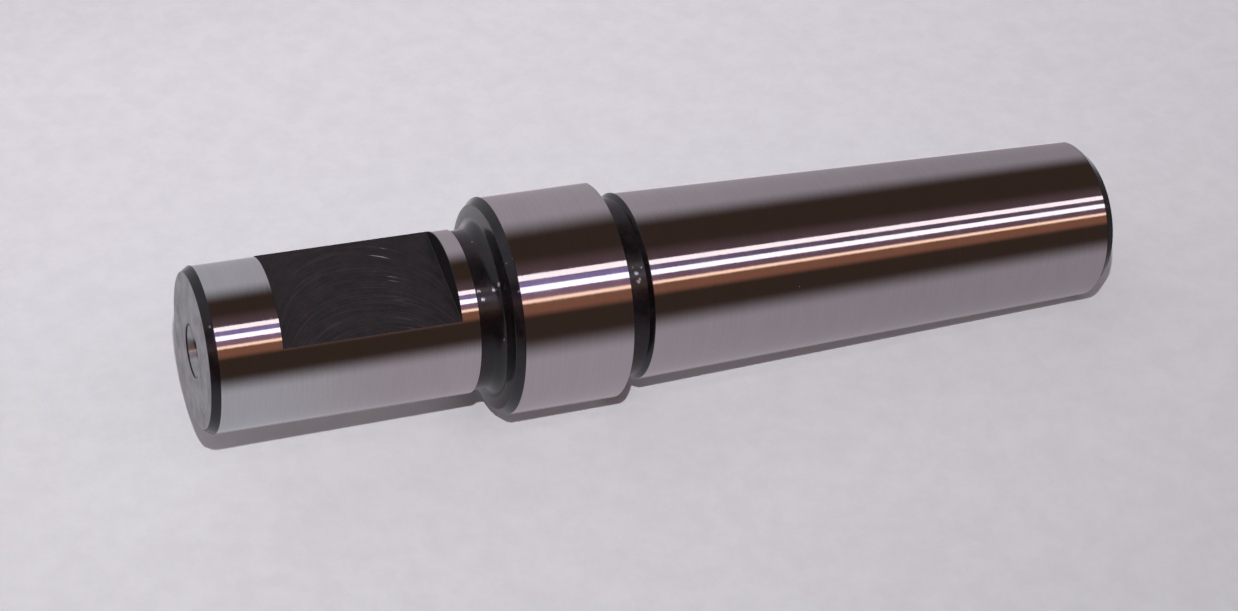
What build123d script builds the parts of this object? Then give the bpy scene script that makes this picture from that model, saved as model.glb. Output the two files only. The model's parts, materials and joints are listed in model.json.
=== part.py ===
"""Drawbar taper arbor: a parallel shank with a driving flat, a collar and a long locking taper.

It is one turned piece. The origin is the middle of the shank's end face, +Z runs along the
axis to the small end of the taper, and the flat faces -Y. Lengths are in millimetres.
"""

import os
from math import radians, tan

from build123d import *
from build123d.topology import SkipClean

# Parallel shank
SHANK_D = 20.6  # ground diameter
SHANK_L = 33.25  # end face to the end of the ground surface
END_CHAMFER_L = 1.0  # along the axis
END_CHAMFER_H = 0.65  # across the radius

# Driving flat, milled across the shank's side and closed at both ends
FLAT_DEPTH = 3.55  # floor below the shank's surface
FLAT_START = 8.9  # from the end face to its near wall
FLAT_LAND = 2.25  # full round left between its far wall and the neck

# Neck between the shank and the collar
NECK_STEP = 0.3  # below the shank's surface
NECK_L = 3.25  # from the shank's ground surface to the collar's face
NECK_FILLET_R = 1.6  # where the neck meets the face

# Collar
COLLAR_D = 27.4
COLLAR_L = 14.05  # ground surface
COLLAR_CHAMFER_L = 0.93
COLLAR_CHAMFER_H = 0.85
FACE_SLOPE = 12.0  # degrees that the collar's face leans back from square

# Relief groove between the collar and the taper
GROOVE_L = 3.4
GROOVE_DEPTH = 0.5  # below the taper's large end
GROOVE_R = 0.35  # corner at the collar

# Locking taper: 23.825 at the large end and 1 in 19.922 on diameter
TAPER_D = 23.825
TAPER_RATIO = 19.922
TAPER_L = 65.65  # large end to the end face, with the chamfer
TAPER_CHAMFER_L = 1.5
TAPER_CHAMFER_H = 1.3

# Centre hole in the shank's end: 60 degree cone and pilot
CENTRE_CONE_D = 6.7
CENTRE_PILOT_D = 3.15
CENTRE_PILOT_L = 5.9
CONE_ANGLE = 60.0
DRILL_POINT = 118.0

# Drawbar hole in the small end: tapping size of an M12 thread, with a 60 degree cone
DRAWBAR_BORE_D = 10.2
DRAWBAR_BORE_L = 30.0
DRAWBAR_CONE_D = 14.6

SHANK_R = SHANK_D / 2
FLAT_END = SHANK_L - FLAT_LAND
NECK_R = SHANK_R - NECK_STEP
COLLAR_R = COLLAR_D / 2
FACE_OUTER_R = COLLAR_R - COLLAR_CHAMFER_H
FILLET_R = min(NECK_FILLET_R, (FACE_OUTER_R - NECK_R) * 0.7)  # leaves some of the face flat
FACE_INNER_R = NECK_R + FILLET_R
FACE_START = SHANK_L + NECK_L
FACE_END = FACE_START + (FACE_OUTER_R - FACE_INNER_R) * tan(radians(FACE_SLOPE))
COLLAR_START = FACE_END + COLLAR_CHAMFER_L
COLLAR_END = COLLAR_START + COLLAR_L
TAPER_R = TAPER_D / 2
TAPER_START = COLLAR_END + GROOVE_L
TOTAL_L = TAPER_START + TAPER_L


def taper_radius(z):
    """Radius of the ground taper at height z."""
    return TAPER_R - (z - TAPER_START) / TAPER_RATIO / 2


def turned_profile():
    """Half section from the axis outwards, all the way round."""
    neck_end = FACE_START - FILLET_R
    groove_r = TAPER_R - GROOVE_DEPTH
    chamfer_start = TOTAL_L - TAPER_CHAMFER_L
    with BuildPart() as body:
        with BuildSketch(Plane.XZ):
            with BuildLine():
                Polyline(
                    (0, 0),
                    (SHANK_R - END_CHAMFER_H, 0),
                    (SHANK_R, END_CHAMFER_L),
                    (SHANK_R, SHANK_L),
                    (NECK_R, SHANK_L),
                    (NECK_R, neck_end),
                )
                RadiusArc((NECK_R, neck_end), (FACE_INNER_R, FACE_START), FILLET_R)
                Polyline(
                    (FACE_INNER_R, FACE_START),
                    (FACE_OUTER_R, FACE_END),
                    (COLLAR_R, COLLAR_START),
                    (COLLAR_R, COLLAR_END),
                    (groove_r + GROOVE_R, COLLAR_END),
                )
                RadiusArc((groove_r + GROOVE_R, COLLAR_END), (groove_r, COLLAR_END + GROOVE_R), GROOVE_R)
                Polyline(
                    (groove_r, COLLAR_END + GROOVE_R),
                    (groove_r, TAPER_START - GROOVE_DEPTH),
                    (TAPER_R, TAPER_START),
                    (taper_radius(chamfer_start), chamfer_start),
                    (taper_radius(chamfer_start) - TAPER_CHAMFER_H, TOTAL_L),
                    (0, TOTAL_L),
                    (0, 0),
                )
            make_face()
        revolve(axis=Axis.Z)
    return body.part


def drilled(cone_d, bore_d, bore_l):
    """A 60 degree cone, a bore and its drill point, cut down from the XY plane towards -Z."""
    cone_l = (cone_d - bore_d) / 2 / tan(radians(CONE_ANGLE / 2))
    point_l = bore_d / 2 / tan(radians(DRILL_POINT / 2))
    with BuildPart() as hole:
        with BuildSketch(Plane.XZ):
            with BuildLine():
                Polyline(
                    (0, 0),
                    (cone_d / 2, 0),
                    (bore_d / 2, -cone_l),
                    (bore_d / 2, -bore_l),
                    (0, -bore_l - point_l),
                    (0, 0),
                )
            make_face()
        revolve(axis=Axis.Z)
    return hole.part


def lengths(body, *heights):
    """The body in lengths, parted at each of these heights and touching there."""
    parts = []
    for height in heights:
        joint = Plane.XY.offset(height)
        parts.append(split(body, bisect_by=joint, keep=Keep.BOTTOM))
        body = split(body, bisect_by=joint, keep=Keep.TOP)
    return parts + [body]


def flat_cutter():
    """The block of metal that the milling of the flat takes away."""
    with BuildPart() as cutter:
        with Locations((0, FLAT_DEPTH - SHANK_R, FLAT_START)):
            Box(SHANK_D, SHANK_D, FLAT_END - FLAT_START, align=(Align.CENTER, Align.MAX, Align.MIN))
    return cutter.part


def build_arbor():
    """The finished arbor. The turned body is joined again from its lengths without cleaning, so the
    shank's wall is three faces: a full ring below the flat, one above it, and the arc beside it."""
    with SkipClean(), BuildPart() as arbor:
        for length in lengths(turned_profile(), FLAT_START, FLAT_END):
            add(length)
        add(flat_cutter(), mode=Mode.SUBTRACT)
        centre_hole = drilled(CENTRE_CONE_D, CENTRE_PILOT_D, CENTRE_PILOT_L)
        add(centre_hole.mirror(Plane.XY), mode=Mode.SUBTRACT)
        drawbar_hole = drilled(DRAWBAR_CONE_D, DRAWBAR_BORE_D, DRAWBAR_BORE_L)
        add(drawbar_hole.moved(Location((0, 0, TOTAL_L))), mode=Mode.SUBTRACT)
    return arbor.part


os.makedirs("parts", exist_ok=True)
export_step(build_arbor(), "parts/arbor.step")
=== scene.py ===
import json
from math import cos, pi, radians, sin, tan

import bpy
from bpy.props import FloatProperty, FloatVectorProperty, IntProperty, PointerProperty
from mathutils import Matrix, Vector


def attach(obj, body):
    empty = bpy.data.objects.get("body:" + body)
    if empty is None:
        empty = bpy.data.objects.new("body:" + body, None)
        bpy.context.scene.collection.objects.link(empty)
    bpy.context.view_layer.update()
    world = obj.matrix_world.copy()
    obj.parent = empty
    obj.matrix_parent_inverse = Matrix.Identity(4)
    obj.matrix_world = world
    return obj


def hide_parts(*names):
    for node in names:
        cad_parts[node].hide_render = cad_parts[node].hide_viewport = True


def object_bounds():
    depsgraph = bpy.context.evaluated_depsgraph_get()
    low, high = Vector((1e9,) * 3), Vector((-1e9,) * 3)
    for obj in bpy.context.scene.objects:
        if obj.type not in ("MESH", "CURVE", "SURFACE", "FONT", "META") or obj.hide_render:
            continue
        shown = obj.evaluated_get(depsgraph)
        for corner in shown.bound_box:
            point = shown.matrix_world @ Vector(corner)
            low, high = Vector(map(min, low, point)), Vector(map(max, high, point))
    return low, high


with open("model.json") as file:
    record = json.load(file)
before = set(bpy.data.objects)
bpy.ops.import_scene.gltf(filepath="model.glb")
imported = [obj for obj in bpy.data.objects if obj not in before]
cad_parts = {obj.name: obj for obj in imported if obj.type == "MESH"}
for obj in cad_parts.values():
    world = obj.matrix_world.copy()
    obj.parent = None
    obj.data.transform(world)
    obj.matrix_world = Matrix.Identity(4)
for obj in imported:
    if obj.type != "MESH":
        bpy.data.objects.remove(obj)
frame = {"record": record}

bl_info = {
    "name": "Taper arbor",
    "version": (1, 0, 0),
    "blender": (4, 5, 0),
    "location": "View3D > Sidebar > Arbor",
    "description": "Builds a ground and blackened taper arbor on a plain sheet of paper",
    "category": "Object",
}

MM = 0.001
CAD_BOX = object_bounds()
MOUNTS = {mount["name"]: mount for mount in frame["record"]["mounts"]}
SHANK_R = MOUNTS["shank"]["dims"]["r_mm"] * MM
SHANK_END = MOUNTS["shank"]["pos_m"][2] + MOUNTS["shank"]["dims"]["length_mm"] * MM / 2
THREAD_DRILL_R = MOUNTS["drawbar_thread"]["dims"]["r_mm"] * MM
TOTAL_LENGTH = CAD_BOX[1].z - CAD_BOX[0].z
COLLAR_R = CAD_BOX[1].x

UP = Vector((0, 0, 1))
MERGE_BODY = 0.0005 * MM  # points of the body closer than this are one
MERGE_THREAD = 0.0001 * MM  # the same for the thread
SMOOTH_BODY = radians(14)  # edges flatter than this are shaded round
SMOOTH_THREAD = radians(25)
THREAD_STEPS = 96  # facets round one turn of the thread
PAPER_SIZE = 3.0
FLOOR_SIZE = 6.0
COLLAR_EDGE = 1.2 * MM  # the collar's leaning face and chamfer, along the axis


# ---------------------------------------------------------------- sizes and colours


def length(label, default, text):
    """A size in metres that the user may change."""
    return FloatProperty(name=label, description=text, default=default, unit="LENGTH", precision=5)


def colour(label, default, text):
    """A linear colour that the user may change."""
    return FloatVectorProperty(
        name=label, description=text, default=default, size=3, min=0, max=20, subtype="COLOR"
    )


def number(label, default, text):
    """A plain number that the user may change."""
    return FloatProperty(name=label, description=text, default=default)


def angle(label, default, text):
    """An angle that the user may change, written here in degrees."""
    return FloatProperty(name=label, description=text, default=radians(default), subtype="ANGLE")


class ArborSizes(bpy.types.PropertyGroup):
    """The sizes of the turned body, from the shank's end upwards."""

    shank_radius: length("Shank radius", SHANK_R, "Ground straight shank")
    shank_length: length("Shank length", SHANK_END, "From the end face to the neck")
    end_chamfer_length: length("End chamfer length", 1.0 * MM, "Along the shank")
    end_chamfer_height: length("End chamfer height", 0.65 * MM, "In from the shank's wall")
    flat_depth: length("Flat depth", 3.55 * MM, "From the shank's wall down to the drive flat")
    flat_start: length("Flat start", 8.9 * MM, "Near wall of the drive flat")
    flat_land: length("Flat land", 2.25 * MM, "Shank left standing behind the drive flat")
    neck_step: length("Neck step", 0.3 * MM, "The neck's radius is smaller by this")
    neck_length: length("Neck length", 3.25 * MM, "From the shank to the collar's face")
    neck_fillet: length("Neck fillet", 1.6 * MM, "Radius where the neck meets the collar")
    collar_radius: length("Collar radius", COLLAR_R, "Ground collar")
    collar_length: length("Collar length", 14.05 * MM, "The ground wall alone")
    collar_chamfer_length: length("Collar chamfer length", 0.93 * MM, "Along the collar")
    collar_chamfer_height: length("Collar chamfer height", 0.85 * MM, "In from the collar's wall")
    face_slope: angle("Face slope", 12, "Lean of the collar's face")
    groove_length: length("Groove length", 3.4 * MM, "Relief between collar and taper")
    groove_depth: length("Groove depth", 0.5 * MM, "Below the taper's wide end")
    groove_corner: length("Groove corner", 0.35 * MM, "Radius at the collar's side")
    taper_radius: length("Taper radius", 11.9125 * MM, "At the wide end")
    taper_ratio: number("Taper ratio", 19.922, "Length for each unit of diameter")
    taper_chamfer_length: length("Taper chamfer length", 1.5 * MM, "At the small end")
    taper_chamfer_height: length("Taper chamfer height", 1.3 * MM, "At the small end")
    edge_break: length("Edge break", 0.055 * MM, "Width of the deburred edges")
    steps: IntProperty(name="Steps round", description="Facets round the axis", default=288)


class HoleSizes(bpy.types.PropertyGroup):
    """The two drilled holes and the drawbar thread."""

    centre_cone_radius: length("Centre cone radius", 3.35 * MM, "At the shank's end face")
    centre_pilot_radius: length("Centre pilot radius", 1.575 * MM, "Pilot below the cone")
    centre_pilot_depth: length("Centre pilot depth", 5.9 * MM, "Full bore of the pilot")
    drawbar_cone_radius: length("Drawbar cone radius", 7.3 * MM, "At the small end")
    drawbar_drill_radius: length("Drawbar drill radius", THREAD_DRILL_R, "Drill before tapping")
    drawbar_depth: length("Drawbar depth", 30 * MM, "Full bore of the drilled hole")
    thread_root_radius: length("Thread root radius", 6.0 * MM, "Outside of the thread")
    thread_pitch: length("Thread pitch", 1.75 * MM, "From crest to crest")
    thread_depth: length("Thread depth", 26 * MM, "Last full thread below the end")
    thread_clearance: length("Thread clearance", 0.06 * MM, "Gap outside the thread piece")
    cone_angle: angle("Cone angle", 60, "Whole angle of both countersinks")
    drill_angle: angle("Drill angle", 118, "Whole angle of the drill points")


class FinishLooks(bpy.types.PropertyGroup):
    """Colours and grain of the steel's finishes."""

    steel: colour("Ground steel", (0.62, 0.6, 0.612), "Bright ground walls")
    steel_roughness: number("Ground roughness", 0.055, "Roughness of the ground walls")
    grind_height: length("Grinding height", 0.0005 * MM, "Depth of the grinding lines")
    ripple_height: length("Ripple height", 0.004 * MM, "Depth of the ripples that the wheel leaves")
    dust: colour("Dust", (0.9, 0.88, 0.9), "Pale specks on the ground walls")
    oxide: colour("Black oxide", (0.004, 0.0033, 0.0042), "Blackened walls")
    oxide_roughness: number("Oxide roughness", 0.2, "Roughness of the blackened walls")
    oxide_index: number("Oxide index", 1.52, "Refractive index of the oxide film")
    bare: colour("Bare specks", (0.55, 0.53, 0.55), "Steel where the black is worn off")
    # The bare specks are packed round the azimuth where the lamps glint, so their sparkle falls there.
    speck_glint_azimuth: angle("Bare azimuth", 32, "Where round the axis most of the bare specks are")
    turned: colour("Turned end", (0.44, 0.435, 0.445), "Dull end faces")
    turned_dust: colour("End dust", (0.5, 0.48, 0.5), "Specks on the end faces")
    stain: number("Stain", 0.72, "Share of the end's colour that is left in a stain")
    milled: colour("Milled flat", (0.006, 0.0048, 0.0058), "Floor of the drive flat")
    cutter_radius: length("Cutter radius", 11.05 * MM, "Sweep of the milling arcs")
    feed: length("Feed", 0.22 * MM, "Distance between milling arcs")
    arc_lines: colour("Milling arcs", (0.034, 0.026, 0.031), "The fine arcs on the drive flat")
    arc_ridges: colour("Broad arcs", (0.07, 0.06, 0.067), "The broader arcs among them")
    # Colour of the painted highlight strokes on the drive flat.
    painted_glint_strokes: colour("Bright strokes", (0.2, 0.18, 0.2), "Short pale strokes along some arcs")
    thread_dark: colour("Thread, dark", (0.09, 0.08, 0.088), "Oiled thread")
    thread_pale: colour("Thread, pale", (0.16, 0.14, 0.15), "The same, where it is rubbed")


class StudioSetup(bpy.types.PropertyGroup):
    """Camera, paper, floor and lights. An azimuth of 0 is at -Y and grows towards +X."""

    camera_place: FloatVectorProperty(
        name="Camera place", description="In the part's frame", size=3, subtype="TRANSLATION",
        default=(0.224106, -0.255078, -0.06202),
    )
    camera_azimuth: angle("Camera azimuth", 40.9, "Where the camera stands round the axis")
    camera_elevation: angle("Camera elevation", -18.94, "Up from level, negative from below")
    camera_roll: angle("Camera roll", 81.24, "Turn about the line of sight")
    camera_lens: number("Lens", 82.575, "Focal length in millimetres")
    paper_azimuth: angle("Paper azimuth", -8.4, "Which way the paper behind the arbor faces")
    paper_lean: angle("Paper lean", 2.88, "The paper lies against collar and small end")
    paper: colour("Paper", (0.66, 0.665, 0.69), "Paper and floor")
    background: colour("Background", (0.57, 0.56, 0.585), "Beyond the floor")
    surroundings: colour("Surroundings", (0.42, 0.375, 0.415), "What the steel mirrors sideways")
    low_surroundings: colour("Low surroundings", (0.475, 0.475, 0.515), "The same, near the floor")
    high_surroundings: colour("High surroundings", (0.345, 0.308, 0.34), "The same, high up")
    ceiling: colour("Ceiling", (0.09, 0.083, 0.088), "Dark space straight above")
    hood: colour("Hood", (0.045, 0.028, 0.021), "Dark space round the camera")
    hood_left: angle("Hood left edge", -21.5, "Azimuth at eye level where the dark space begins")
    hood_left_lean: number("Hood left lean", 1.05, "How far its left edge leans back as it rises")
    hood_right: angle("Hood right edge", 98.8, "Azimuth where it ends")
    hood_right_lean: number("Hood right lean", 0.22, "How far its right edge leans in as it rises")
    hood_softness: angle("Hood softness", 30, "Width of its soft edges")
    # Painted light falloff on the paper behind: it is paler towards -X, darker towards +X and a little
    # darker high up.
    paper_painted_light_left: number("Paper, left", 1.37, "Factor on the paper's colour towards -X")
    paper_painted_light_right: number("Paper, right", 0.78, "Factor on it towards +X")
    paper_painted_light_low: number("Paper, low", 1.0, "Factor on it near the floor")
    paper_painted_light_high: number("Paper, high", 0.985, "Factor on it above the arbor's small end")
    tube_distance: length("Tube distance", 0.62, "From the arbor's axis to the strip lamps")
    tube_length: length("Tube length", 1.3, "Length of the strip lamps")
    white_power: number("White tube", 1.7, "Radiance of the middle strip lamp")
    white_azimuth: angle("White tube azimuth", 30.8, "Where it stands round the axis")
    white_width: angle("White tube width", 6.0, "Its width, seen from the axis")
    white_tint: colour("White tube colour", (0.99, 0.93, 1), "Its light")
    cream_power: number("Cream tube", 1.55, "Radiance of the side strip lamp")
    cream_azimuth: angle("Cream tube azimuth", 18.5, "Where it stands round the axis")
    cream_width: angle("Cream tube width", 5.8, "Its width, seen from the axis")
    cream_tint: colour("Cream tube colour", (1, 0.905, 0.93), "Its light")
    flash_power: number("Flash", 1.04, "Watts of the small lamp above the camera")
    flash_rise: length("Flash rise", 0.06, "From the camera up to the small lamp")
    flash_side: length("Flash side", 0.0023, "From the camera sideways to the small lamp")
    flash_size: length("Flash size", 0.005, "Width of the small lamp")
    overhead_power: number("Overhead", 2.0, "Sun strength of the soft light from above")
    overhead_softness: angle("Overhead softness", 18, "How wide the light from above is")


# ---------------------------------------------------------------- helpers for meshes


def deselect_all():
    """Leaves nothing selected in object mode."""
    if bpy.context.object and bpy.context.object.mode != "OBJECT":
        bpy.ops.object.mode_set(mode="OBJECT")
    bpy.ops.object.select_all(action="DESELECT")


def start_outline(name, start):
    """A new mesh object in edit mode that holds one point, to be drawn out into an outline."""
    deselect_all()
    bpy.ops.mesh.primitive_plane_add(size=MM, location=(0, 0, 0))
    piece = bpy.context.object
    piece.name = name
    piece.data.name = name
    bpy.ops.object.mode_set(mode="EDIT")
    bpy.context.tool_settings.mesh_select_mode = (True, False, False)
    bpy.ops.mesh.select_all(action="SELECT")
    bpy.ops.mesh.merge(type="CENTER")
    bpy.ops.transform.translate(value=(start[0], 0, start[1]))
    return piece


def draw_outline(points):
    """Extrudes the selected point along the outline, given as (radius, height)."""
    for (r0, z0), (r1, z1) in zip(points, points[1:]):
        bpy.ops.mesh.extrude_region_move(TRANSFORM_OT_translate={"value": (r1 - r0, 0, z1 - z0)})


def spin_outline(steps):
    """Turns the whole outline once round the axis and closes its seam and poles."""
    bpy.ops.mesh.select_all(action="SELECT")
    bpy.ops.mesh.spin(steps=steps, angle=2 * pi, center=(0, 0, 0), axis=(0, 0, 1))
    bpy.ops.mesh.select_all(action="SELECT")
    bpy.ops.mesh.remove_doubles(threshold=MERGE_BODY)
    bpy.ops.mesh.normals_make_consistent(inside=False)


def apply_modifier(piece, kind, **settings):
    """Adds one modifier and applies it."""
    modifier = piece.modifiers.new(kind.title(), kind)
    for name, value in settings.items():
        setattr(modifier, name, value)
    bpy.context.view_layer.objects.active = piece
    piece.select_set(True)
    bpy.ops.object.modifier_apply(modifier=modifier.name)


def smooth(piece, limit):
    """Shades the piece smooth up to this angle between faces."""
    deselect_all()
    piece.select_set(True)
    bpy.context.view_layer.objects.active = piece
    bpy.ops.object.shade_smooth_by_angle(angle=limit)


# ---------------------------------------------------------------- the turned outline


def arc(centre, radius, start, end, steps):
    """Points on an arc between two angles in degrees, both ends left out."""
    turns = [radians(start + (end - start) * i / steps) for i in range(1, steps)]
    return [(centre[0] + radius * cos(a), centre[1] + radius * sin(a), False) for a in turns]


def broken(points, size):
    """The outline with each marked corner cut off by a small flat of about this size."""
    out = []
    for i, (r, z, sharp) in enumerate(points):
        if not sharp:
            out.append((r, z))
            continue
        corner = Vector((r, z))
        for neighbour in (points[i - 1], points[i + 1]):
            towards = Vector(neighbour[:2]) - corner
            out.append(tuple(corner + towards.normalized() * size))
    return out


def hole_outline(mouth, radii, heights, tip):
    """A stepped hole's outline as marked corners, from its mouth to its tip on the axis."""
    steps = [(r, z, False) for r, z in zip(radii, heights)]
    return [mouth, *steps, (0, tip, False)]


def arbor_outline(s, h):
    """Half section of the arbor from the centre hole's tip round to the drawbar hole's tip."""
    cone = tan(h.cone_angle / 2)
    point = tan(h.drill_angle / 2)
    top = TOTAL_LENGTH
    neck = s.shank_radius - s.neck_step
    face_inner = neck + s.neck_fillet
    face_outer = s.collar_radius - s.collar_chamfer_height
    face_start = s.shank_length + s.neck_length
    face_end = face_start + (face_outer - face_inner) * tan(s.face_slope)
    collar_start = face_end + s.collar_chamfer_length
    collar_end = collar_start + s.collar_length
    groove = s.taper_radius - s.groove_depth
    taper_start = collar_end + s.groove_length
    chamfer_start = top - s.taper_chamfer_length
    small_end = s.taper_radius - (chamfer_start - taper_start) / s.taper_ratio / 2

    pilot_mouth = (h.centre_cone_radius - h.centre_pilot_radius) / cone
    centre_hole = hole_outline(
        (h.centre_cone_radius, 0, True),
        (h.centre_pilot_radius, h.centre_pilot_radius),
        (pilot_mouth, h.centre_pilot_depth),
        h.centre_pilot_depth + h.centre_pilot_radius / point,
    )
    thread_wall = h.thread_root_radius + h.thread_clearance
    thread_bottom = top - h.thread_depth
    step = (thread_wall - h.drawbar_drill_radius) / cone
    drill_bottom = top - h.drawbar_depth
    drawbar_hole = hole_outline(
        (h.drawbar_cone_radius, top, True),
        (thread_wall, thread_wall, h.drawbar_drill_radius, h.drawbar_drill_radius),
        (
            top - (h.drawbar_cone_radius - thread_wall) / cone,
            thread_bottom,
            thread_bottom - step,
            drill_bottom,
        ),
        drill_bottom - h.drawbar_drill_radius / point,
    )
    outside = [
        (s.shank_radius - s.end_chamfer_height, 0, True),
        (s.shank_radius, s.end_chamfer_length, True),
        (s.shank_radius, s.shank_length, True),
        (neck, s.shank_length, False),
        (neck, face_start - s.neck_fillet, False),
        *arc((face_inner, face_start - s.neck_fillet), s.neck_fillet, 180, 90, 14),
        (face_inner, face_start, False),
        (face_outer, face_end, True),
        (s.collar_radius, collar_start, True),
        (s.collar_radius, collar_end, True),
        (groove + s.groove_corner, collar_end, False),
        *arc((groove + s.groove_corner, collar_end + s.groove_corner), s.groove_corner, 270, 180, 7),
        (groove, collar_end + s.groove_corner, False),
        (groove, taper_start - s.groove_depth, False),
        (s.taper_radius, taper_start, True),
        (small_end, chamfer_start, True),
        (small_end - s.taper_chamfer_height, top, True),
    ]
    return broken([*reversed(centre_hole), *outside, *drawbar_hole], s.edge_break)


class ARBOR_OT_body(bpy.types.Operator):
    """Turn the arbor's body, mill its drive flat and give each wall its finish"""

    bl_idname = "arbor.body"
    bl_label = "Arbor body"

    def execute(self, context):
        s = context.scene.arbor_sizes
        h = context.scene.arbor_holes
        outline = arbor_outline(s, h)
        body = start_outline("arbor_body", outline[0])
        draw_outline(outline)
        spin_outline(s.steps)
        bpy.ops.object.mode_set(mode="OBJECT")
        mill_flat(body, s)
        smooth(body, SMOOTH_BODY)
        dress(body, s)
        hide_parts("arbor")
        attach(body, "root")
        return {"FINISHED"}


def mill_flat(body, s):
    """Cuts the drive flat out of the shank and breaks its outer edges."""
    flat_end = s.shank_length - s.flat_land
    floor = s.flat_depth - s.shank_radius
    depth = 2 * s.shank_radius
    width = depth * 1.2  # reaches past the shank on both sides
    deselect_all()
    bpy.ops.mesh.primitive_cube_add(
        size=1,
        location=(0, floor - depth / 2, (s.flat_start + flat_end) / 2),
        scale=(width, depth, flat_end - s.flat_start),
    )
    cutter = bpy.context.object
    deselect_all()
    apply_modifier(body, "BOOLEAN", object=cutter, operation="DIFFERENCE", solver="EXACT")
    deselect_all()
    cutter.select_set(True)
    bpy.ops.object.delete()

    near = 0.004 * MM  # a point this close to a wall lies in it
    mesh = body.data
    bpy.context.view_layer.objects.active = body
    body.select_set(True)
    bpy.ops.object.mode_set(mode="EDIT")
    bpy.ops.mesh.select_all(action="DESELECT")
    bpy.ops.object.mode_set(mode="OBJECT")
    bpy.context.tool_settings.mesh_select_mode = (False, True, False)

    def on_wall(p):
        return Vector((p.x, p.y)).length > s.shank_radius - 3 * near

    def on_rim(a, b):
        if not (on_wall(a) and on_wall(b)) or max(a.y, b.y) > floor + near:
            return False
        side = abs(a.y - floor) < near and abs(b.y - floor) < near
        ends = any(abs(a.z - z) < near and abs(b.z - z) < near for z in (s.flat_start, flat_end))
        return ends or (side and s.flat_start - near < a.z < flat_end + near)

    for edge in mesh.edges:
        a, b = (mesh.vertices[v].co for v in edge.vertices)
        edge.select = on_rim(a, b)
    bpy.ops.object.mode_set(mode="EDIT")
    bpy.ops.mesh.bevel(offset=s.edge_break, segments=1, affect="EDGES")
    bpy.ops.object.mode_set(mode="OBJECT")


# ---------------------------------------------------------------- helpers for shaders


def add_node(tree, kind, inputs=None, **settings):
    """Adds a node, sets its own settings, and fills or links its inputs."""
    node = tree.nodes.new(kind)
    for name, value in settings.items():
        setattr(node, name, value)
    for key, value in (inputs or {}).items():
        if isinstance(value, bpy.types.NodeSocket):
            tree.links.new(value, node.inputs[key])
        else:
            node.inputs[key].default_value = value
    return node


def maths(tree, operation, *values, clamp=False):
    """One Math node's result."""
    node = add_node(tree, "ShaderNodeMath", dict(enumerate(values)), operation=operation)
    node.use_clamp = clamp
    return node.outputs[0]


def vector_maths(tree, operation, *values):
    """One Vector Math node."""
    return add_node(tree, "ShaderNodeVectorMath", dict(enumerate(values)), operation=operation)


def smooth_step(tree, value, low, high, start=0.0, end=1.0, kind="SMOOTHSTEP"):
    """Eases from start to end while the value goes from low to high."""
    node = add_node(
        tree, "ShaderNodeMapRange",
        {"Value": value, "From Min": low, "From Max": high, "To Min": start, "To Max": end},
        interpolation_type=kind,
    )
    return node.outputs["Result"]


def mix_colour(tree, factor, a, b, blend="MIX"):
    """Mixes two colours by the factor."""
    node = add_node(tree, "ShaderNodeMix", data_type="RGBA", blend_type=blend)
    for socket, value in ((node.inputs[0], factor), (node.inputs[6], a), (node.inputs[7], b)):
        if isinstance(value, bpy.types.NodeSocket):
            tree.links.new(value, socket)
        elif socket.type == "RGBA":
            socket.default_value = (*value, 1)
        else:
            socket.default_value = value
    return node.outputs[2]


def new_group(name, inputs, outputs):
    """A shader group with its inputs, as (name, kind, default), and outputs, as (name, kind)."""
    group = bpy.data.node_groups.new(name, "ShaderNodeTree")
    for label, kind, default in inputs:
        socket = group.interface.new_socket(label, in_out="INPUT", socket_type="NodeSocket" + kind)
        if default is not None:
            socket.default_value = default
    for label, kind in outputs:
        group.interface.new_socket(label, in_out="OUTPUT", socket_type="NodeSocket" + kind)
    entry = group.nodes.new("NodeGroupInput").outputs
    result = group.nodes.new("NodeGroupOutput").inputs
    return group, entry, result


def use_group(tree, group, **inputs):
    """Places a group in a material. An input's name is written with _ for its spaces."""
    node = tree.nodes.new("ShaderNodeGroup")
    node.node_tree = group
    for key, value in inputs.items():
        socket = node.inputs[key.replace("_", " ")]
        if isinstance(value, bpy.types.NodeSocket):
            tree.links.new(value, socket)
        else:
            socket.default_value = value
    return node.outputs


def height_of(tree, place):
    """The height along the axis."""
    return add_node(tree, "ShaderNodeSeparateXYZ", {0: place}).outputs[2]


def radius_of(tree, parts):
    """The distance from the axis, from a place's separate parts."""
    x, y = (maths(tree, "POWER", part, 2.0) for part in (parts[0], parts[1]))
    return maths(tree, "SQRT", maths(tree, "ADD", x, y))


def tool_lines_group():
    """Fine lines left by a tool or a wheel going round the axis, out along a height or radius."""
    group, entry, result = new_group(
        "Tool lines",
        [
            ("Place", "Vector", None),
            ("Across", "Float", 0.0),
            ("Spacing", "Float", 0.2 * MM),
            ("Wander", "Float", 1.5),
        ],
        [("Height", "Float"), ("Tone", "Float")],
    )
    parts = add_node(group, "ShaderNodeSeparateXYZ", {0: entry["Place"]}).outputs
    radius = maths(group, "MAXIMUM", radius_of(group, parts), 0.01 * MM)
    turn_x = maths(group, "MULTIPLY", maths(group, "DIVIDE", parts[0], radius), entry["Wander"])
    turn_y = maths(group, "MULTIPLY", maths(group, "DIVIDE", parts[1], radius), entry["Wander"])
    across = maths(group, "DIVIDE", entry["Across"], entry["Spacing"])
    place = add_node(group, "ShaderNodeCombineXYZ", {0: turn_x, 1: turn_y, 2: across}).outputs[0]
    fine = add_node(
        group, "ShaderNodeTexNoise", {"Vector": place, "Scale": 1.0, "Detail": 3.0, "Roughness": 0.65}
    )
    broad_across = maths(group, "MULTIPLY", across, 0.09)
    broad_place = add_node(
        group, "ShaderNodeCombineXYZ", {0: turn_x, 1: turn_y, 2: broad_across}
    ).outputs[0]
    broad = add_node(
        group, "ShaderNodeTexNoise", {"Vector": broad_place, "Scale": 1.0, "Detail": 2.0}
    )
    group.links.new(fine.outputs["Fac"], result["Height"])
    group.links.new(broad.outputs["Fac"], result["Tone"])
    return group


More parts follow.
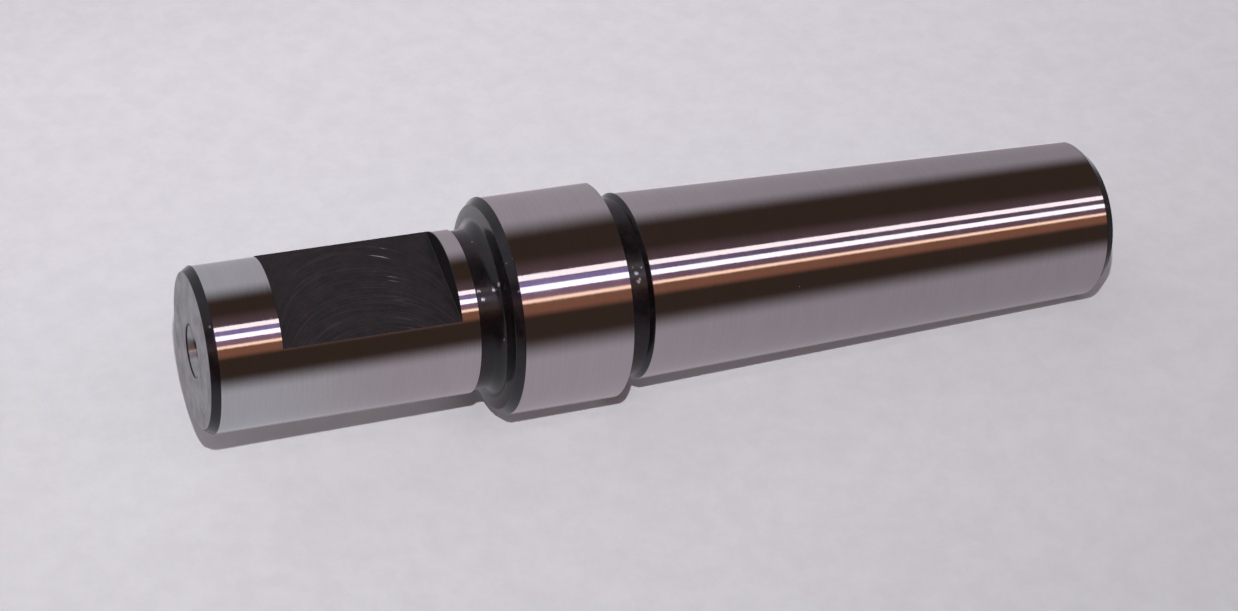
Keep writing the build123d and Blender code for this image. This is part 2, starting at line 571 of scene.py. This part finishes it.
def specks_group():
    """Small scattered specks with ragged edges, as a mask."""
    group, entry, result = new_group(
        "Specks",
        [
            ("Place", "Vector", None),
            ("Cells", "Float", 900.0),
            ("Share", "Float", 0.1),
            ("Size", "Float", 0.16),
        ],
        [("Mask", "Float")],
    )
    cells = add_node(
        group, "ShaderNodeTexVoronoi", {"Vector": entry["Place"], "Scale": entry["Cells"]}
    )
    picks = add_node(group, "ShaderNodeSeparateColor", {0: cells.outputs["Color"]}).outputs
    chosen = maths(group, "LESS_THAN", picks[0], entry["Share"])
    ragged = add_node(
        group, "ShaderNodeTexNoise", {"Vector": entry["Place"], "Scale": 9000.0, "Detail": 1.0}
    ).outputs["Fac"]
    size = maths(group, "MULTIPLY", maths(group, "ADD", picks[1], 0.15), entry["Size"])
    edge = maths(group, "MULTIPLY", smooth_step(group, ragged, 0.35, 0.65, 0.4, 1.3), size)
    dot = maths(group, "LESS_THAN", cells.outputs["Distance"], edge)
    group.links.new(maths(group, "MULTIPLY", chosen, dot), result["Mask"])
    return group


# The oxide film's colour is multiplied by these where it is warm and where it is cool.
FILM_WARM = (1.5, 0.95, 0.95)
FILM_COOL = (0.75, 1.05, 1.0)


def film_group():
    """The oxide film's tint, clouded from warm to cool, and the cloud itself."""
    group, entry, result = new_group(
        "Oxide film",
        [("Place", "Vector", None), ("Cloud size", "Float", 1000.0)],
        [("Tint", "Color"), ("Cloud", "Float")],
    )
    cloud = add_node(
        group, "ShaderNodeTexNoise",
        {"Vector": entry["Place"], "Scale": entry["Cloud size"], "Detail": 4.0, "Roughness": 0.65},
    )
    hue = smooth_step(group, cloud.outputs["Fac"], 0.4, 0.6)
    warm_or_cool = mix_colour(group, hue, FILM_WARM, FILM_COOL)
    broader = maths(group, "MULTIPLY", entry["Cloud size"], 0.37)
    patches = add_node(
        group, "ShaderNodeTexNoise",
        {"Vector": entry["Place"], "Scale": broader, "Detail": 5.0, "Roughness": 0.7},
    ).outputs["Fac"]
    depth = smooth_step(group, patches, 0.35, 0.7, 0.8, 2.1)
    group.links.new(mix_colour(group, 1.0, warm_or_cool, depth, "MULTIPLY"), result["Tint"])
    group.links.new(patches, result["Cloud"])
    return group


def new_material(name):
    """A material with its shader, its tree and the object's own coordinates."""
    material = bpy.data.materials.new(name)
    material.use_nodes = True
    tree = material.node_tree
    shader = tree.nodes["Principled BSDF"]
    place = add_node(tree, "ShaderNodeTexCoord").outputs["Object"]
    return material, tree, shader, place


def set_shader(tree, shader, **inputs):
    """Fills or links the shader's inputs, their names written with _ for spaces."""
    for key, value in inputs.items():
        socket = shader.inputs[key.replace("_", " ")]
        if isinstance(value, bpy.types.NodeSocket):
            tree.links.new(value, socket)
        elif socket.type == "RGBA":
            socket.default_value = (*value, 1)
        else:
            socket.default_value = value


def bump(tree, height, distance, strength=1.0):
    """A Bump node's normal."""
    return add_node(
        tree, "ShaderNodeBump", {"Height": height, "Distance": distance, "Strength": strength}
    ).outputs[0]


# ---------------------------------------------------------------- finishes


def ground_steel(looks, groups):
    """Bright steel, ground round the axis, with fine lines, ripples and a few specks of dust."""
    material, tree, shader, place = new_material("ground_steel")
    height = height_of(tree, place)
    lines = use_group(
        tree, groups["lines"], Place=place, Across=height, Spacing=0.22 * MM, Wander=1.2
    )
    ripple = use_group(
        tree, groups["lines"], Place=place, Across=height, Spacing=0.4 * MM, Wander=6.0
    )
    dust = use_group(
        tree, groups["specks"], Place=place, Cells=520.0, Share=0.05, Size=0.05
    )["Mask"]
    broad = smooth_step(tree, lines["Tone"], 0.25, 0.75, 0.98, 1.01)
    fine = smooth_step(tree, lines["Height"], 0.3, 0.7, 0.975, 1.02)
    shade = maths(tree, "MULTIPLY", broad, fine)
    tinted = mix_colour(tree, 1.0, tuple(looks.steel), shade, "MULTIPLY")
    dusty = mix_colour(tree, dust, tinted, tuple(looks.dust))
    rough = smooth_step(
        tree, lines["Tone"], 0.3, 0.8, looks.steel_roughness * 0.8, looks.steel_roughness * 1.4
    )
    rough = maths(tree, "ADD", rough, maths(tree, "MULTIPLY", dust, 0.5))
    share = looks.grind_height / looks.ripple_height
    relief = maths(tree, "MULTIPLY_ADD", lines["Height"], share, ripple["Height"])
    set_shader(
        tree, shader, Base_Color=dusty, Metallic=1.0, Roughness=rough,
        Normal=bump(tree, relief, looks.ripple_height),
    )
    return material


def black_oxide(looks, groups):
    """Blackened turned steel with faint tool lines and a clouded tint. Specks are worn bare and glint
    in the lamps; most of them are packed round the azimuth where the lamps glint, so they sparkle there."""
    material, tree, shader, place = new_material("black_oxide")
    height = height_of(tree, place)
    lines = use_group(
        tree, groups["lines"], Place=place, Across=height, Spacing=0.3 * MM, Wander=2.0
    )
    # Bare specks are thickest on the side where the lamps glint, so that side sparkles more.
    glint_side = facing(looks.speck_glint_azimuth)
    level = vector_maths(tree, "MULTIPLY", place, (1, 1, 0)).outputs[0]
    outwards = vector_maths(tree, "NORMALIZE", level).outputs[0]
    side = vector_maths(tree, "DOT_PRODUCT", outwards, glint_side).outputs["Value"]
    share = smooth_step(tree, side, 0.965, 0.995, 0.008, 0.4)
    bare = use_group(
        tree, groups["specks"], Place=place, Cells=1400.0, Share=share, Size=0.34
    )["Mask"]
    film = use_group(tree, groups["film"], Place=place, Cloud_size=1100.0)
    tint = mix_colour(tree, 1.0, tuple(looks.oxide), film["Tint"], "MULTIPLY")
    worn = mix_colour(tree, bare, tint, tuple(looks.bare))
    rough = smooth_step(
        tree, film["Cloud"], 0.3, 0.7, looks.oxide_roughness * 0.85, looks.oxide_roughness * 1.25
    )
    set_shader(
        tree, shader, Base_Color=worn, Roughness=rough, Metallic=bare, IOR=looks.oxide_index,
        Normal=bump(tree, lines["Height"], 0.0015 * MM),
    )
    return material


def turned_end(looks, groups):
    """The dull faced-off ends, with fine rings round the centre."""
    material, tree, shader, place = new_material("turned_end")
    parts = add_node(tree, "ShaderNodeSeparateXYZ", {0: place}).outputs
    lines = use_group(
        tree, groups["lines"], Place=place, Across=radius_of(tree, parts), Spacing=0.16 * MM, Wander=1.0
    )
    dust = use_group(
        tree, groups["specks"], Place=place, Cells=1300.0, Share=0.12, Size=0.14
    )["Mask"]
    blotch = add_node(
        tree, "ShaderNodeTexNoise", {"Vector": place, "Scale": 330.0, "Detail": 6.0, "Roughness": 0.6}
    ).outputs["Fac"]
    stain = smooth_step(tree, blotch, 0.35, 0.7)
    base = mix_colour(tree, stain, tuple(looks.turned), tuple(c * looks.stain for c in looks.turned))
    dusty = mix_colour(tree, dust, base, tuple(looks.turned_dust))
    rough = smooth_step(tree, blotch, 0.3, 0.7, 0.42, 0.6)
    set_shader(
        tree, shader, Base_Color=dusty, Metallic=0.45, Roughness=rough,
        Normal=bump(tree, lines["Height"], 0.004 * MM),
    )
    return material


def drilled_steel(looks, groups):
    """Bright cone and bore of the centre hole, with rings left by the drill and a dark rim."""
    material, tree, shader, place = new_material("drilled_steel")
    height = height_of(tree, place)
    lines = use_group(
        tree, groups["lines"], Place=place, Across=height, Spacing=0.12 * MM, Wander=2.2
    )
    darker, brighter = (tuple(c * share for c in looks.turned) for share in (0.6, 1.35))
    base = mix_colour(tree, lines["Tone"], darker, brighter)
    rim = smooth_step(tree, height, 0.1 * MM, 0.22 * MM, 1.0, 0.0)
    base = mix_colour(tree, rim, base, tuple(looks.oxide))
    rough = smooth_step(tree, lines["Tone"], 0.3, 0.7, 0.13, 0.28)
    set_shader(
        tree, shader, Base_Color=base, Metallic=0.85, Roughness=rough,
        Normal=bump(tree, lines["Height"], 0.006 * MM),
    )
    return material


def milled_flat(looks, groups):
    """The blackened floor of the drive flat. The cutter went across it and left one arc for each
    step, with short pale strokes on some of them, which are painted highlights where the arcs would
    catch the lamps."""
    material, tree, shader, place = new_material("milled_flat")
    sizes = bpy.context.scene.arbor_sizes
    middle = (sizes.flat_start + sizes.shank_length - sizes.flat_land) / 2
    parts = add_node(tree, "ShaderNodeSeparateXYZ", {0: place}).outputs
    along = maths(tree, "SUBTRACT", parts[2], middle)
    along_squared = maths(tree, "POWER", maths(tree, "ABSOLUTE", along), 2.0)
    swept = maths(tree, "SUBTRACT", looks.cutter_radius**2, along_squared)
    step = maths(tree, "ADD", parts[0], maths(tree, "SQRT", maths(tree, "MAXIMUM", swept, 0.0)))
    turn = maths(tree, "DIVIDE", along, looks.cutter_radius)

    def arc_noise(spacing, wander, seed, detail):
        """Noise drawn out along the arcs, this far from one to the next."""
        across = maths(tree, "DIVIDE", step, spacing)
        around = maths(tree, "MULTIPLY", turn, wander)
        where = add_node(tree, "ShaderNodeCombineXYZ", {0: across, 1: around, 2: seed}).outputs[0]
        return add_node(
            tree, "ShaderNodeTexNoise", {"Vector": where, "Scale": 1.0, "Detail": detail}
        ).outputs["Fac"]

    fine = arc_noise(looks.feed, 1.6, 0.0, 2.0)
    ridges = smooth_step(tree, arc_noise(looks.feed * 3, 1.2, 7.0, 1.0), 0.6, 0.72)
    # Painted highlight: pale strokes along some arcs, in one band across the flat and fading towards +X,
    # where the arcs would catch the lamps.
    painted_glint_line = smooth_step(tree, arc_noise(looks.feed * 1.6, 3.0, 3.0, 0.0), 0.64, 0.72)
    painted_glint_offset = maths(tree, "ABSOLUTE", maths(tree, "SUBTRACT", turn, 0.37))
    painted_glint_band = smooth_step(tree, painted_glint_offset, 0.02, 0.14, 1.0, 0.0)
    painted_glint_fade = smooth_step(tree, parts[0], -5 * MM, 4 * MM, 1.0, 0.12)
    strokes = maths(tree, "MULTIPLY", maths(tree, "MULTIPLY", painted_glint_line, painted_glint_band), painted_glint_fade)
    film = use_group(tree, groups["film"], Place=place, Cloud_size=1500.0)
    base = mix_colour(tree, 1.0, tuple(looks.milled), film["Tint"], "MULTIPLY")
    lines = maths(tree, "MULTIPLY", smooth_step(tree, fine, 0.42, 0.68), 0.28)
    ridges = maths(tree, "MULTIPLY", ridges, 0.13)
    marks = ((lines, looks.arc_lines), (ridges, looks.arc_ridges), (strokes, looks.painted_glint_strokes))
    for mask, tint in marks:
        base = mix_colour(tree, mask, base, tuple(tint))
    rough = smooth_step(tree, film["Cloud"], 0.3, 0.7, 0.38, 0.5)
    set_shader(
        tree, shader, Base_Color=base, Roughness=rough, IOR=1.5,
        Normal=bump(tree, fine, 0.003 * MM),
    )
    return material


def thread_steel(looks, groups):
    """Tapped thread, dark and lightly oiled."""
    material, tree, shader, place = new_material("thread_steel")
    height = height_of(tree, place)
    lines = use_group(
        tree, groups["lines"], Place=place, Across=height, Spacing=0.12 * MM, Wander=3.0
    )
    base = mix_colour(tree, lines["Tone"], tuple(looks.thread_dark), tuple(looks.thread_pale))
    rough = smooth_step(tree, lines["Tone"], 0.3, 0.7, 0.3, 0.45)
    set_shader(
        tree, shader, Base_Color=base, Metallic=0.8, Roughness=rough,
        Normal=bump(tree, lines["Height"], 0.002 * MM),
    )
    return material


def make_finishes():
    """All the finishes, keyed by name, sharing their effects."""
    looks = bpy.context.scene.arbor_looks
    groups = {"lines": tool_lines_group(), "specks": specks_group(), "film": film_group()}
    makers = (black_oxide, ground_steel, turned_end, drilled_steel, milled_flat, thread_steel)
    return {maker.__name__: maker(looks, groups) for maker in makers}


def dress(body, s):
    """Gives each wall its finish: ground walls bright, ends dull, the centre hole drilled, the flat
    milled, and the rest black, with the broken edges."""
    order = ("black_oxide", "ground_steel", "turned_end", "milled_flat", "drilled_steel")
    body.data.materials.clear()
    for name in order:
        body.data.materials.append(bpy.data.materials[name])
    floor = s.flat_depth - s.shank_radius
    near = 0.03 * MM
    groove_end = s.shank_length + s.neck_length + s.collar_length + s.groove_length
    for face in body.data.polygons:
        c, n = face.center, face.normal
        r = Vector((c.x, c.y)).length
        outward = (n.x * c.x + n.y * c.y) / max(r, 1e-9)
        upright = outward > 0.995
        finish = "black_oxide"
        if abs(c.y - floor) < near and n.y < -0.99:
            finish = "milled_flat"
        elif upright and r > s.shank_radius - near and c.z < s.shank_length:
            finish = "ground_steel"
        elif upright and r > s.collar_radius - near:
            finish = "ground_steel"
        elif upright and c.z > groove_end:
            finish = "ground_steel"
        elif abs(n.z) > 0.99 and (c.z < near or c.z > TOTAL_LENGTH - near):
            finish = "turned_end"
        elif outward < 0 and c.z < s.flat_start:
            finish = "drilled_steel"
        face.material_index = order.index(finish)


# ---------------------------------------------------------------- drawbar thread


class ARBOR_OT_thread(bpy.types.Operator):
    """Cut the drawbar thread as one helical sleeve in the small end"""

    bl_idname = "arbor.thread"
    bl_label = "Drawbar thread"

    def execute(self, context):
        h = context.scene.arbor_holes
        pitch = h.thread_pitch
        crest = pitch / 8  # flats of a metric thread
        root = pitch / 4
        low = TOTAL_LENGTH - h.thread_depth
        high = TOTAL_LENGTH - (h.drawbar_cone_radius - h.thread_root_radius) / tan(h.cone_angle / 2)
        turns = int((high - low) / pitch) + 3
        start = low - pitch
        flank = (pitch - crest - root) / 2
        outline = [
            (h.drawbar_drill_radius, start),
            (h.drawbar_drill_radius, start + root),
            (h.thread_root_radius, start + root + flank),
            (h.thread_root_radius, start + root + flank + crest),
            (h.drawbar_drill_radius, start + pitch),
        ]
        thread = start_outline("drawbar_thread", outline[0])
        draw_outline(outline)
        bpy.ops.object.mode_set(mode="OBJECT")
        apply_modifier(
            thread, "SCREW", axis="Z", angle=2 * pi, screw_offset=pitch, iterations=turns,
            steps=THREAD_STEPS, render_steps=THREAD_STEPS, use_merge_vertices=True,
            merge_threshold=MERGE_THREAD,
        )
        bpy.ops.object.mode_set(mode="EDIT")
        for height, above in ((low, False), (high, True)):
            bpy.ops.mesh.select_all(action="SELECT")
            bpy.ops.mesh.bisect(
                plane_co=(0, 0, height), plane_no=(0, 0, 1), clear_inner=not above, clear_outer=above
            )
        bpy.ops.mesh.select_all(action="SELECT")
        bpy.ops.mesh.remove_doubles(threshold=MERGE_THREAD)
        bpy.ops.mesh.normals_make_consistent(inside=True)
        bpy.ops.object.mode_set(mode="OBJECT")
        open_mouth(thread, h)
        smooth(thread, SMOOTH_THREAD)
        thread.data.materials.append(bpy.data.materials["thread_steel"])
        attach(thread, "root")
        return {"FINISHED"}


def open_mouth(thread, h):
    """Cuts the first thread back to the countersink's cone."""
    cone = tan(h.cone_angle / 2)
    for vertex in thread.data.vertices:
        p = vertex.co
        r = Vector((p.x, p.y)).length
        wall = h.drawbar_cone_radius - (TOTAL_LENGTH - p.z) * cone
        if r < wall:
            p.xy *= min(wall, h.thread_root_radius) / r


# ---------------------------------------------------------------- studio


def facing(azimuth, elevation=0.0):
    """The direction out from the axis at this azimuth and elevation."""
    return Vector((sin(azimuth) * cos(elevation), -cos(azimuth) * cos(elevation), sin(elevation)))


def place_camera(studio):
    """The camera below the shank's end, looking up along the arbor with the axis across the view."""
    camera = bpy.data.objects.new("camera", bpy.data.cameras.new("camera"))
    bpy.context.scene.collection.objects.link(camera)
    camera.data.lens = studio.camera_lens
    back = facing(studio.camera_azimuth, studio.camera_elevation)
    level = Vector((cos(studio.camera_azimuth), sin(studio.camera_azimuth), 0))
    upright = back.cross(level)
    right = level * cos(studio.camera_roll) + upright * sin(studio.camera_roll)
    turn = Matrix((right, back.cross(right), back)).transposed()
    camera.matrix_world = Matrix.Translation(studio.camera_place) @ turn.to_4x4()
    camera.data.clip_start = 0.01
    bpy.context.scene.camera = camera


def one_sided_paper(name, tree_colour):
    """Pale matt paper that is seen from its face only. Its tint comes from the given function."""
    material = bpy.data.materials.new(name)
    material.use_nodes = True
    tree = material.node_tree
    tree.nodes.remove(tree.nodes["Principled BSDF"])
    matt = add_node(tree, "ShaderNodeBsdfDiffuse", {"Color": tree_colour(tree)}).outputs[0]
    clear = add_node(tree, "ShaderNodeBsdfTransparent").outputs[0]
    behind = add_node(tree, "ShaderNodeNewGeometry").outputs["Backfacing"]
    shown = add_node(tree, "ShaderNodeMixShader", {0: behind, 1: matt, 2: clear}).outputs[0]
    tree.links.new(shown, tree.nodes["Material Output"].inputs["Surface"])
    return material


def paper_tint(studio, tree, across=(1.0, 1.0), along=(1.0, 1.0)):
    """The paper's colour with faint fibres, and painted light falloff: paler or darker towards one side
    and one end.
    """
    place = add_node(tree, "ShaderNodeTexCoord").outputs["Object"]
    parts = add_node(tree, "ShaderNodeSeparateXYZ", {0: place}).outputs
    fibres = add_node(
        tree, "ShaderNodeTexNoise",
        {"Vector": place, "Scale": 260.0, "Detail": 6.0, "Roughness": 0.72},
    ).outputs["Fac"]
    shade = smooth_step(tree, fibres, 0.3, 0.7, 0.965, 1.03)
    # Painted light falloff across and along the sheet.
    sideways = (parts[0], (-80 * MM, 60 * MM), across)
    upwards = (parts[2], (-20 * MM, 150 * MM), along)
    for value, reach, ends in (sideways, upwards):
        part = smooth_step(tree, value, *reach, *ends, kind="LINEAR")
        shade = maths(tree, "MULTIPLY", shade, part)
    return mix_colour(tree, 1.0, tuple(studio.paper), shade, "MULTIPLY")


def lay_sheet(name, size, place, normal, material):
    """A large flat stage sheet that the camera sees. It lights nothing, casts no shadow and isn't
    mirrored."""
    deselect_all()
    bpy.ops.mesh.primitive_plane_add(size=size)
    sheet = bpy.context.object
    sheet.name = name
    turn = normal.to_track_quat("Z", "Y").to_matrix().to_4x4()
    sheet.data.transform(Matrix.Translation(place) @ turn)
    sheet.data.materials.append(material)
    for ray in ("diffuse", "glossy", "transmission", "shadow"):
        setattr(sheet, "visible_" + ray, False)
    return sheet


def strip_lamp(name, studio, azimuth, width, power, tint):
    """A tall strip lamp parallel to the arbor's axis."""
    lamp = bpy.data.lights.new(name, "AREA")
    lamp.shape = "RECTANGLE"
    lamp.size = 2 * studio.tube_distance * tan(width / 2)
    lamp.size_y = studio.tube_length
    lamp.color = tint
    lamp.energy = power * lamp.size * lamp.size_y * pi
    holder = bpy.data.objects.new(name, lamp)
    bpy.context.scene.collection.objects.link(holder)
    out = facing(azimuth)
    turn = Matrix((UP.cross(out), UP, out)).transposed().to_4x4()
    holder.matrix_world = Matrix.Translation(out * studio.tube_distance + UP * (TOTAL_LENGTH / 2)) @ turn
    holder.visible_camera = False
    return holder


def flash_lamp(studio):
    """The small lamp just above the camera, which gives the arbor its thin crisp shadow."""
    lamp = bpy.data.lights.new("flash", "AREA")
    lamp.size = studio.flash_size
    lamp.energy = studio.flash_power
    camera = bpy.context.scene.camera
    offset = camera.matrix_world.to_3x3() @ Vector((studio.flash_side, studio.flash_rise, 0))
    holder = bpy.data.objects.new("flash", lamp)
    bpy.context.scene.collection.objects.link(holder)
    holder.matrix_world = Matrix.Translation(offset) @ camera.matrix_world
    holder.visible_camera = False
    holder.visible_glossy = False


def spare_floor(floor, lamps):
    """Keeps these lamps off the floor, because their lower ends reach through it."""
    spared = bpy.data.collections.new("spared")
    spared.objects.link(floor)
    spared.collection_objects[0].light_linking.link_state = "EXCLUDE"
    for lamp in lamps:
        lamp.light_linking.receiver_collection = spared


# Soft glows in the surroundings: name, azimuth, width and edge in degrees, linear colour, and the
# share that is left high up.
GLOWS = (
    ("violet spill", 18.5, 29, 9, (0.112, 0.07, 0.08), 1.0),
    ("orange spill", 50.5, 13, 4, (0.26, 0.11, 0.068), 1.0),
    ("violet glow", 28.2, 12.6, 1.5, (0.3, 0.225, 0.45), 0.15),
    ("rose glow", 38.2, 8.6, 1.2, (0.29, 0.165, 0.225), 0.5),
    ("orange reflector", 43.1, 3.4, 1.3, (1.75, 1.16, 0.86), 1.0),
    ("bright rim", -126, 14, 5, (0.83, 0.77, 0.84), 1.0),
    ("contact shade", -150, 12, 4, (0.27, 0.24, 0.27), 1.0),
)

# Heights of a direction, as the sine of its elevation, between which one zone turns into another.
FLOOR_ZONE = (0.19, 0.25)
RISING_ZONE = (0.3, 0.48)
GLOW_FADE = (0.3, 0.47)
CEILING_ZONE = (0.62, 0.85)


def light_world(studio):
    """Pale surroundings with a dark space round the camera and soft glows, which the steel mirrors.
    The camera itself sees one plain pale colour."""
    world = bpy.data.worlds.new("studio")
    bpy.context.scene.world = world
    world.use_nodes = True
    tree = world.node_tree
    ray = add_node(tree, "ShaderNodeTexCoord").outputs["Generated"]
    parts = add_node(tree, "ShaderNodeSeparateXYZ", {0: ray}).outputs
    azimuth = maths(tree, "ARCTAN2", parts[0], maths(tree, "MULTIPLY", parts[1], -1.0))
    soft = studio.hood_softness / 2
    elevation = maths(tree, "ARCSINE", parts[2])
    leaning = maths(tree, "MULTIPLY_ADD", elevation, studio.hood_left_lean, azimuth)
    left = smooth_step(tree, leaning, studio.hood_left - soft, studio.hood_left + soft)
    leaning = maths(tree, "MULTIPLY_ADD", elevation, studio.hood_right_lean, azimuth)
    right = smooth_step(tree, leaning, studio.hood_right - soft, studio.hood_right + soft, 1.0, 0.0)
    hood = maths(tree, "MULTIPLY", left, right)
    low = smooth_step(tree, parts[2], *FLOOR_ZONE, 1.0, 0.0)
    rising = smooth_step(tree, parts[2], *RISING_ZONE)
    seen = mix_colour(tree, rising, tuple(studio.surroundings), tuple(studio.high_surroundings))
    seen = mix_colour(tree, low, seen, tuple(studio.low_surroundings))
    seen = mix_colour(tree, hood, seen, tuple(studio.hood))
    for _name, centre, width, edge, tint, left_high in GLOWS:
        off = maths(tree, "ABSOLUTE", maths(tree, "SUBTRACT", azimuth, radians(centre)))
        inner, outer = radians(width / 2 - edge), radians(width / 2 + edge)
        mask = smooth_step(tree, off, inner, outer, 1.0, 0.0)
        if left_high < 1:
            fade = smooth_step(tree, parts[2], *GLOW_FADE, 1.0, left_high)
            mask = maths(tree, "MULTIPLY", mask, fade)
        seen = mix_colour(tree, mask, seen, tint)
    high = smooth_step(tree, parts[2], *CEILING_ZONE)
    seen = mix_colour(tree, high, seen, tuple(studio.ceiling))
    lit = add_node(tree, "ShaderNodeBackground", {"Color": seen})
    plain = add_node(tree, "ShaderNodeBackground", {"Color": (*studio.background, 1)})
    to_camera = add_node(tree, "ShaderNodeLightPath").outputs["Is Camera Ray"]
    mixed = add_node(
        tree, "ShaderNodeMixShader", {0: to_camera, 1: lit.outputs[0], 2: plain.outputs[0]}
    )
    tree.links.new(mixed.outputs[0], tree.nodes["World Output"].inputs["Surface"])


class ARBOR_OT_stage(bpy.types.Operator):
    """Set up the camera, the paper, the floor and the lights"""

    bl_idname = "arbor.stage"
    bl_label = "Stage"

    def execute(self, context):
        studio = context.scene.arbor_studio
        sizes = context.scene.arbor_sizes
        place_camera(studio)
        light_world(studio)
        white = strip_lamp(
            "white_tube", studio,
            studio.white_azimuth, studio.white_width, studio.white_power, studio.white_tint,
        )
        cream = strip_lamp(
            "cream_tube", studio,
            studio.cream_azimuth, studio.cream_width, studio.cream_power, studio.cream_tint,
        )
        flash_lamp(studio)
        sun = bpy.data.objects.new("overhead", bpy.data.lights.new("overhead", "SUN"))
        context.scene.collection.objects.link(sun)
        sun.data.energy = studio.overhead_power
        sun.data.angle = studio.overhead_softness
        sun.visible_glossy = False

        # Factors of the painted light falloff on the paper behind; the floor gets none.
        across = (studio.paper_painted_light_left, studio.paper_painted_light_right)
        along = (studio.paper_painted_light_low, studio.paper_painted_light_high)
        paper = one_sided_paper("paper", lambda tree: paper_tint(studio, tree, across, along))
        flooring = one_sided_paper("flooring", lambda tree: paper_tint(studio, tree))
        face = facing(studio.paper_azimuth)
        collar_top = sizes.shank_length + sizes.neck_length + sizes.collar_length + COLLAR_EDGE
        touch = -face * sizes.collar_radius + UP * collar_top
        normal = face * cos(studio.paper_lean) - UP * sin(studio.paper_lean)
        lay_sheet("paper_behind", PAPER_SIZE, touch, normal, paper)
        floor = lay_sheet("floor", FLOOR_SIZE, Vector((0, 0, 0)), UP, flooring)
        spare_floor(floor, (white, cream))
        context.scene.view_settings.view_transform = "Standard"
        return {"FINISHED"}


# ---------------------------------------------------------------- panel and registration


class ARBOR_PT_panel(bpy.types.Panel):
    """Buttons and sizes of the arbor"""

    bl_idname = "ARBOR_PT_panel"
    bl_label = "Taper arbor"
    bl_space_type = "VIEW_3D"
    bl_region_type = "UI"
    bl_category = "Arbor"

    def draw(self, context):
        for operator in OPERATORS:
            self.layout.operator(operator.bl_idname)
        for name in GROUPS:
            box = self.layout.box()
            box.label(text=name.replace("_", " "))
            group = getattr(context.scene, name)
            for key in group.bl_rna.properties.keys():
                if key not in {"rna_type", "name"}:
                    box.prop(group, key)


GROUPS = {
    "arbor_sizes": ArborSizes,
    "arbor_holes": HoleSizes,
    "arbor_looks": FinishLooks,
    "arbor_studio": StudioSetup,
}
OPERATORS = (ARBOR_OT_body, ARBOR_OT_thread, ARBOR_OT_stage)
CLASSES = (*GROUPS.values(), *OPERATORS, ARBOR_PT_panel)


def register():
    for item in CLASSES:
        bpy.utils.register_class(item)
    for name, group in GROUPS.items():
        setattr(bpy.types.Scene, name, PointerProperty(type=group))


def unregister():
    for name in GROUPS:
        delattr(bpy.types.Scene, name)
    for item in reversed(CLASSES):
        bpy.utils.unregister_class(item)


def main():
    """Builds the arbor and its stage."""
    register()
    make_finishes()
    bpy.ops.arbor.body()
    bpy.ops.arbor.thread()
    bpy.ops.arbor.stage()


if __name__ == "__main__":
    main()
